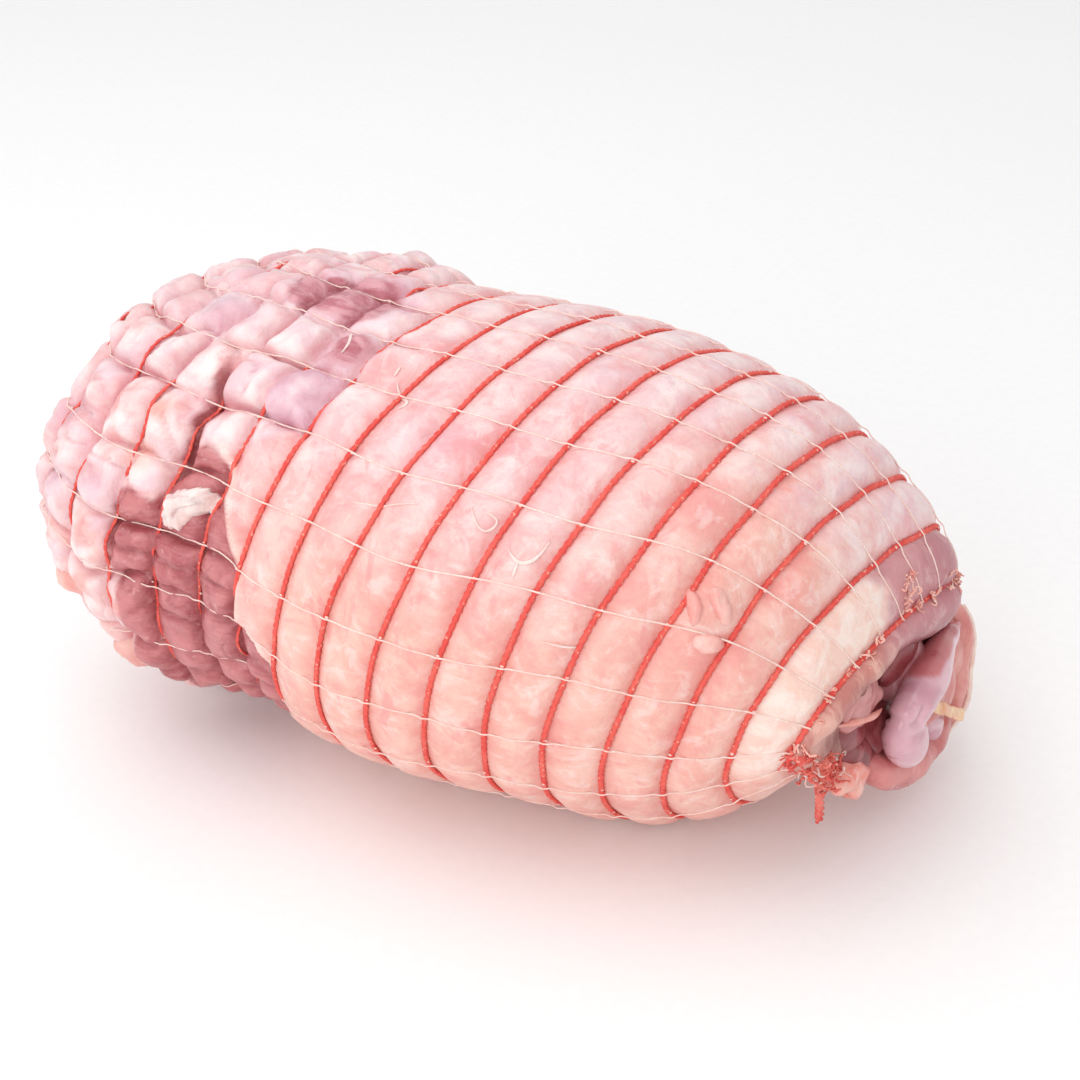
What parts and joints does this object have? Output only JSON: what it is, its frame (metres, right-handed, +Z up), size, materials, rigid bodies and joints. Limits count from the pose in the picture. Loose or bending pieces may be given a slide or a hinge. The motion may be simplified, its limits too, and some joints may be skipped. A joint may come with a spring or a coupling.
{
  "type": "boned and rolled leg of lamb in a roasting net",
  "caption": "Raw boned leg of lamb, rolled into a long oval in an elastic roasting net, pale fat outside, dark muscle at one end and folded shank meat at the other.",
  "frame": {"origin": "middle of the base of the bounding box, on the surface the roll rests on", "axes": "+X along the roll towards the open shank end, +Z up, -Y the side that the picture shows"},
  "size_m": [0.2376, 0.1414, 0.1234],
  "materials": {
    "meat": "moist raw meat with pale fat",
    "net": "knitted elastic yarn, red bands with pale threads"
  },
  "bodies": {
    "root": {"meat": "meat", "net": "net"}
  },
  "joints": []
}
